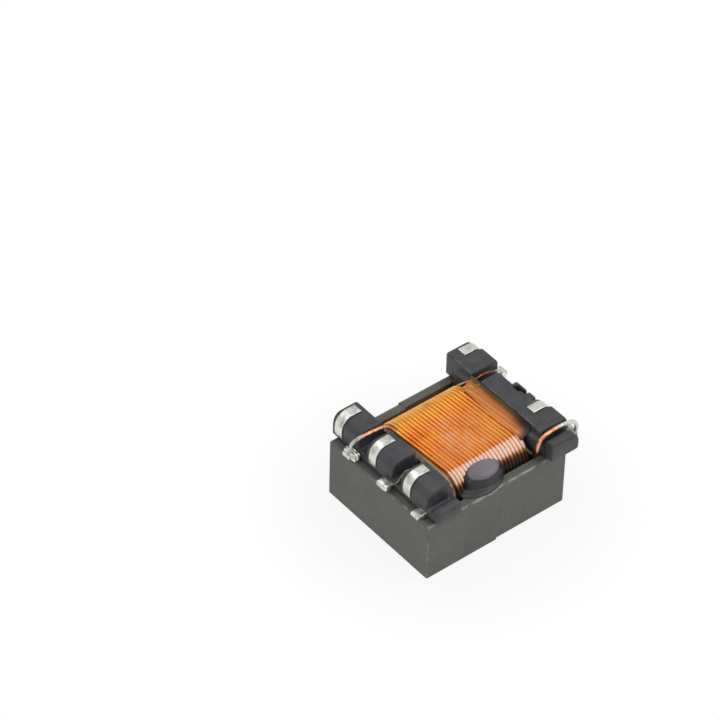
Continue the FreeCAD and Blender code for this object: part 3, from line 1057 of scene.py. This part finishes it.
wires = {
    # number: thickness and places along it in mm, where along x its tin starts and is full,
    # how grimy the tin is, and the light tone of its enamel
    1: {
        "thickness": 0.20,
        "places": [
            (-1.87, 1.60, 4.12), (-2.02, 1.74, 4.28), (-2.28, 1.78, 4.56), (-2.60, 1.78, 4.68),
            (-3.10, 1.78, 4.74), (-3.60, 1.79, 4.76), (-3.98, 1.85, 4.70), (-4.20, 1.96, 4.48),
            (-4.24, 2.05, 4.15), (-4.18, 2.10, 3.75),
        ],
        "tinned": (-3.55, -3.95),
        "grime": 0.35,
        "light": "salmon",
    },
    2: {
        "thickness": 0.10,
        "places": [
            (-1.97, -0.70, 3.88), (-2.40, -0.74, 3.98), (-2.90, -0.82, 4.20), (-3.30, -0.85, 4.36),
            (-3.56, -0.85, 4.12), (-3.74, -0.85, 3.88), (-3.98, -0.84, 3.84), (-4.12, -0.76, 3.90),
            (-4.20, -0.60, 3.86), (-4.20, -0.44, 3.70),
        ],
        "tinned": (-1.9, -2.1),
        "grime": 0.85,
        "light": "salmon",
    },
    4: {
        "thickness": 0.12,
        "places": [
            (2.35, 1.95, 4.08), (2.55, 1.88, 4.16), (2.85, 1.83, 4.32), (3.20, 1.82, 4.48),
            (3.60, 1.82, 4.55), (4.05, 1.82, 4.42), (4.45, 1.82, 4.28), (4.72, 1.82, 4.10),
            (4.78, 1.84, 3.86), (4.76, 1.90, 3.66),
        ],
        "tinned": (3.95, 4.60),
        "grime": 0.25,
        "light": "dull",
    },
    5: {
        "thickness": 0.20,
        "places": [
            (2.43, -2.45, 3.80), (2.50, -2.75, 3.62), (2.56, -3.00, 3.56), (2.60, -3.18, 3.70),
            (2.66, -3.21, 4.20), (2.90, -3.21, 4.62), (3.60, -3.21, 4.72), (4.35, -3.21, 4.70),
            (4.80, -3.21, 4.56), (5.04, -3.21, 4.25), (5.08, -3.20, 3.90), (4.98, -3.10, 3.62),
        ],
        "tinned": (3.75, 4.10),
        "grime": 0.05,
        "light": "salmon",
    },
}

wireLook = {
    "copper": colour(206, 116, 66),
    "salmon": colour(244, 176, 134),
    "dull": colour(112, 70, 62),
    "flux": colour(58, 48, 34),
    "grime": colour(104, 92, 80),
    "patches": (4, 2),
    "tinStray": 0.35,           # mm
    "blotches": (5, 2),
    "tinBlotches": (5, 3),
    "fluxEdges": (4.12, 3.80),  # along z, where bare enamel goes down into flux
    "fluxSpots": (3, 3),
    "mostFlux": 0.95,
    "dents": (6, 2),
    "metallic": 0.85,
    "relief": 0.03,             # mm
    "coat": {"Coat Weight": 0.2},
}


def wireFinish(number, facts):
    finish = Finish("wireEnd%d" % number)
    x, _, z = finish.across()
    patches = finish.noise(*wireLook["patches"])
    coated = (x + patches.stray(wireLook["tinStray"])).rise(*facts["tinned"])
    blotches = finish.noise(*wireLook["blotches"]).rise(0.30, 0.58)
    bare = finish.mix(blotches, wireLook["copper"], wireLook[facts["light"]])
    blotches = finish.noise(*wireLook["tinBlotches"]).rise(0.45, 0.7)
    metal = finish.mix(blotches, tin["bright"], tin["dull"])
    metal = finish.mix(facts["grime"], metal, wireLook["grime"])
    tone = finish.mix(coated, bare, metal)
    flux = z.rise(*wireLook["fluxEdges"]) * (1 - coated)
    flux = flux + finish.noise(*wireLook["fluxSpots"]).rise(0.58, 0.70) * 0.5
    tone = finish.mix(flux.least(wireLook["mostFlux"]), tone, wireLook["flux"])
    roughness = 0.28 + patches * 0.1
    height = finish.noise(*wireLook["dents"]) * (0.15 + coated)
    metallic, relief = wireLook["metallic"], wireLook["relief"]
    return finish.close(tone, roughness, metallic, height, relief, wireLook["coat"])


def makeWires():
    for number, facts in wires.items():
        name = "wireEnd%d" % number
        piece = wirePiece(name, facts["places"], facts["thickness"], working["wireDetail"])
        settle(piece, "magnet_wire", wireFinish(number, facts), "lead_%d" % number)


makeWires()
print("wire ends are built")


# Adhesive bead and the pool round its foot

adhesive = {
    "dark": colour(34, 33, 33),
    # light is the painted reflection on the flat top; dark is the adhesive's own tone
    "light": colour(138, 130, 142),
    # middle and half sizes of the lump and of the pool round its foot, mm
    "lump": ((-0.20, -2.64, 3.42), (1.22, 0.68, 0.92)),
    "pool": ((-0.52, -3.00, 3.33), (1.26, 0.62, 0.20)),
    "segments": 48,
    "rings": 32,
    "grid": 0.035,              # mm
    "rounds": 34,
    "flatTop": (-2.62, 4.12),   # y and z in mm of a place on the flat top
    "flatTilt": 0.22,           # how much the flat top falls towards the near side
    "flatEdges": (-0.10, -0.03),        # below the flat top
    "flatSideEdges": (-2.14, -2.30),    # along y
    "paintedReflectionEdges": (-1.0, 0.6),      # along x, where the painted reflection on it grows
    "flatStray": 0.06,          # mm
    "bumpsPerMm": 1.3,
    "bumpiness": 0.03,          # mm
    "shrink": 0.005,            # mm
    "cloud": (1.6, 3),
    "grain": (7, 3),
    "relief": 0.006,            # mm
    "coat": {"Coat Weight": 0.15},
}


def makeBall(facts):
    middle, halfSize = facts
    deselectAll()
    bpy.ops.mesh.primitive_uv_sphere_add(
        segments=adhesive["segments"],
        ring_count=adhesive["rings"],
        radius=mm,
        location=Vector(middle) * mm,
        scale=halfSize,
    )
    applyPlace()
    return bpy.context.object


def adhesiveFinish():
    finish = Finish("curedAdhesive")
    x, y, z = finish.across()
    cloud = finish.noise(*adhesive["cloud"])
    flatY, flatZ = adhesive["flatTop"]
    # painted reflection: the flat top is lighter, more so towards +x
    above = z - flatZ - (y - flatY) * adhesive["flatTilt"]
    onTop = (above + cloud.stray(adhesive["flatStray"])).rise(*adhesive["flatEdges"])
    onTop = onTop * y.rise(*adhesive["flatSideEdges"])
    paintedReflection = onTop * (0.75 + x.rise(*adhesive["paintedReflectionEdges"]) * 0.25)
    tone = finish.mix(paintedReflection, adhesive["dark"], adhesive["light"])
    height = finish.noise(*adhesive["grain"])
    roughness = 0.36 + cloud * 0.2
    return finish.close(tone, roughness, 0.0, height, adhesive["relief"], adhesive["coat"])


def makeBead():
    piece = makeBall(adhesive["lump"])
    piece.name = "adhesiveLump"
    flatY, flatZ = adhesive["flatTop"]
    editAll()
    bpy.ops.mesh.bisect(
        plane_co=Vector((0, flatY, flatZ)) * mm,
        plane_no=(0, -adhesive["flatTilt"], 1),
        use_fill=True,
        clear_outer=True,
    )
    endEdit()
    joinInto(piece, [makeBall(adhesive["pool"])])
    soften(piece, adhesive["grid"], adhesive["rounds"])
    outwards = [vertex.normal.copy() for vertex in piece.data.vertices]
    perMetre = adhesive["bumpsPerMm"] * mmPerMetre
    for vertex, normal in zip(piece.data.vertices, outwards):
        swell = noise.noise(vertex.co * perMetre) * adhesive["bumpiness"] * mm
        vertex.co += normal * (swell - adhesive["shrink"] * mm)
    smooth(piece)
    settle(piece, "adhesive", adhesiveFinish(), "adhesive_bead")


makeBead()
print("adhesive bead is built")
